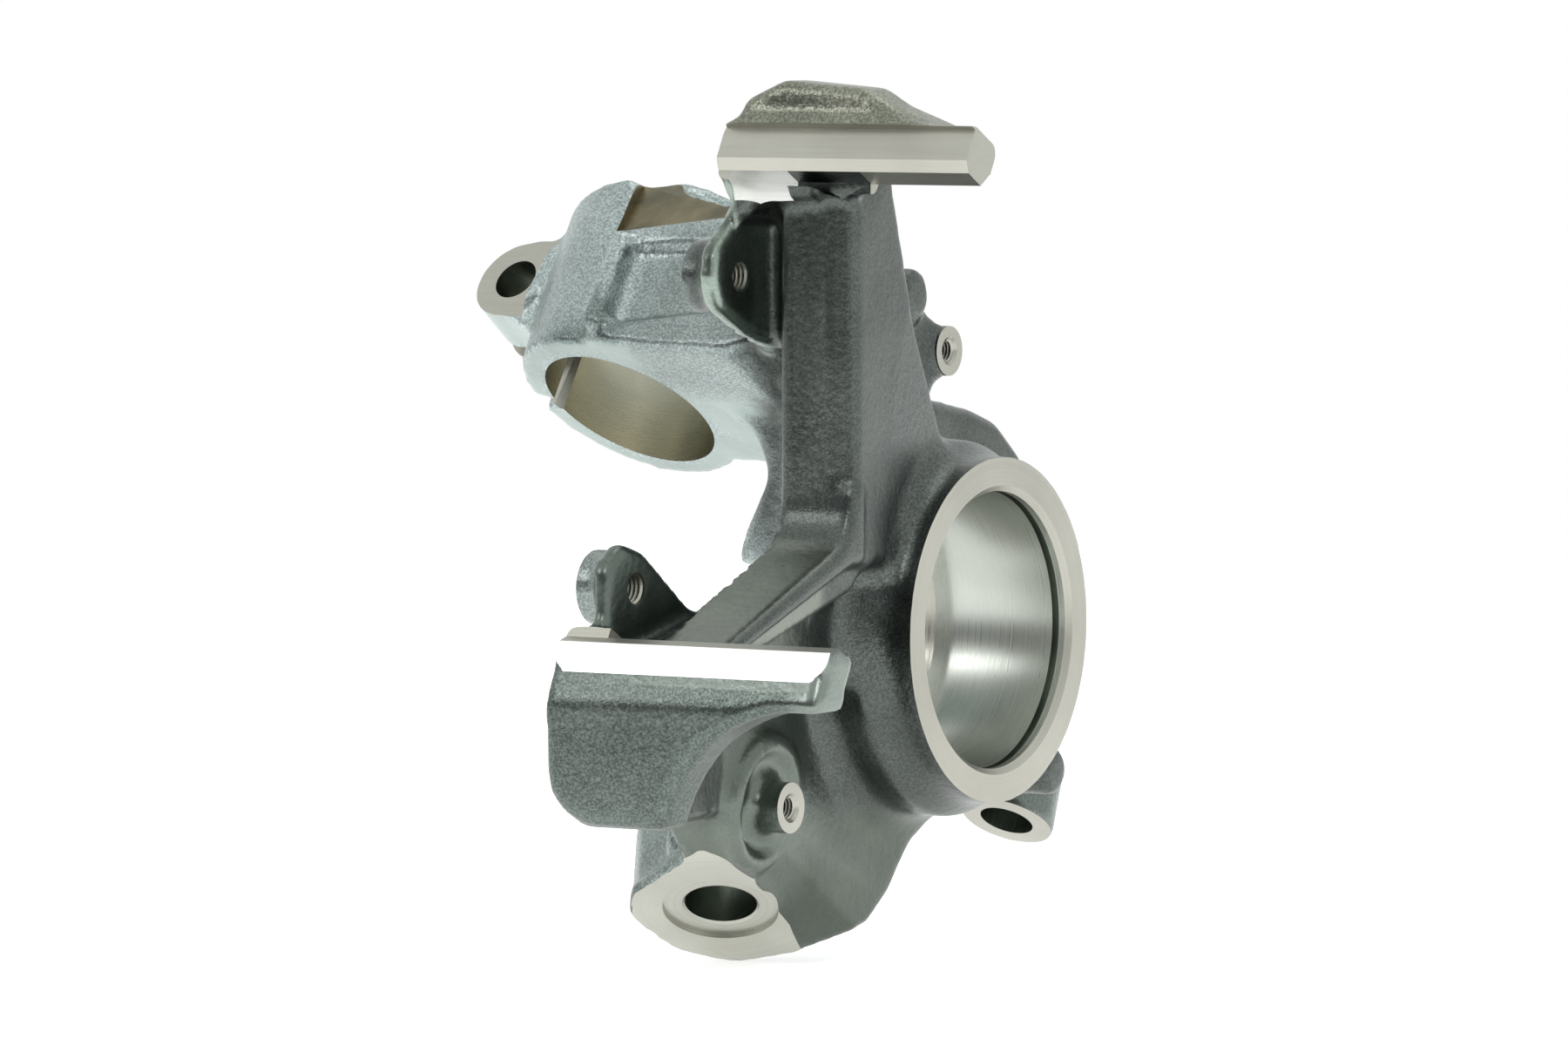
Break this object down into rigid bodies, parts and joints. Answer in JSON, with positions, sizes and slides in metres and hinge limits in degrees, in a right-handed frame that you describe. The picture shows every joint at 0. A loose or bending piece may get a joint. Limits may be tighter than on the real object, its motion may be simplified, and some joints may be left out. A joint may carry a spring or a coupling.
{
  "type": "steering knuckle",
  "caption": "Cast steering knuckle with a wheel bearing hub, strut clamp, caliper rails, ball joint boss and steering arm.",
  "frame": {"origin": "centre of the wheel bearing seat, on the bearing axis", "axes": "+X outboard along the bearing axis, -Y towards the caliper, +Z along the column that carries the upper rail; fitted in a car, the vehicle's up direction lies 32.5 degrees from +Z towards +Y"},
  "size_m": [0.1899, 0.2517, 0.2279],
  "materials": {
    "casting": "oiled cast skin with bright machined faces"
  },
  "bodies": {
    "root": {"knuckle": "casting"}
  },
  "joints": []
}
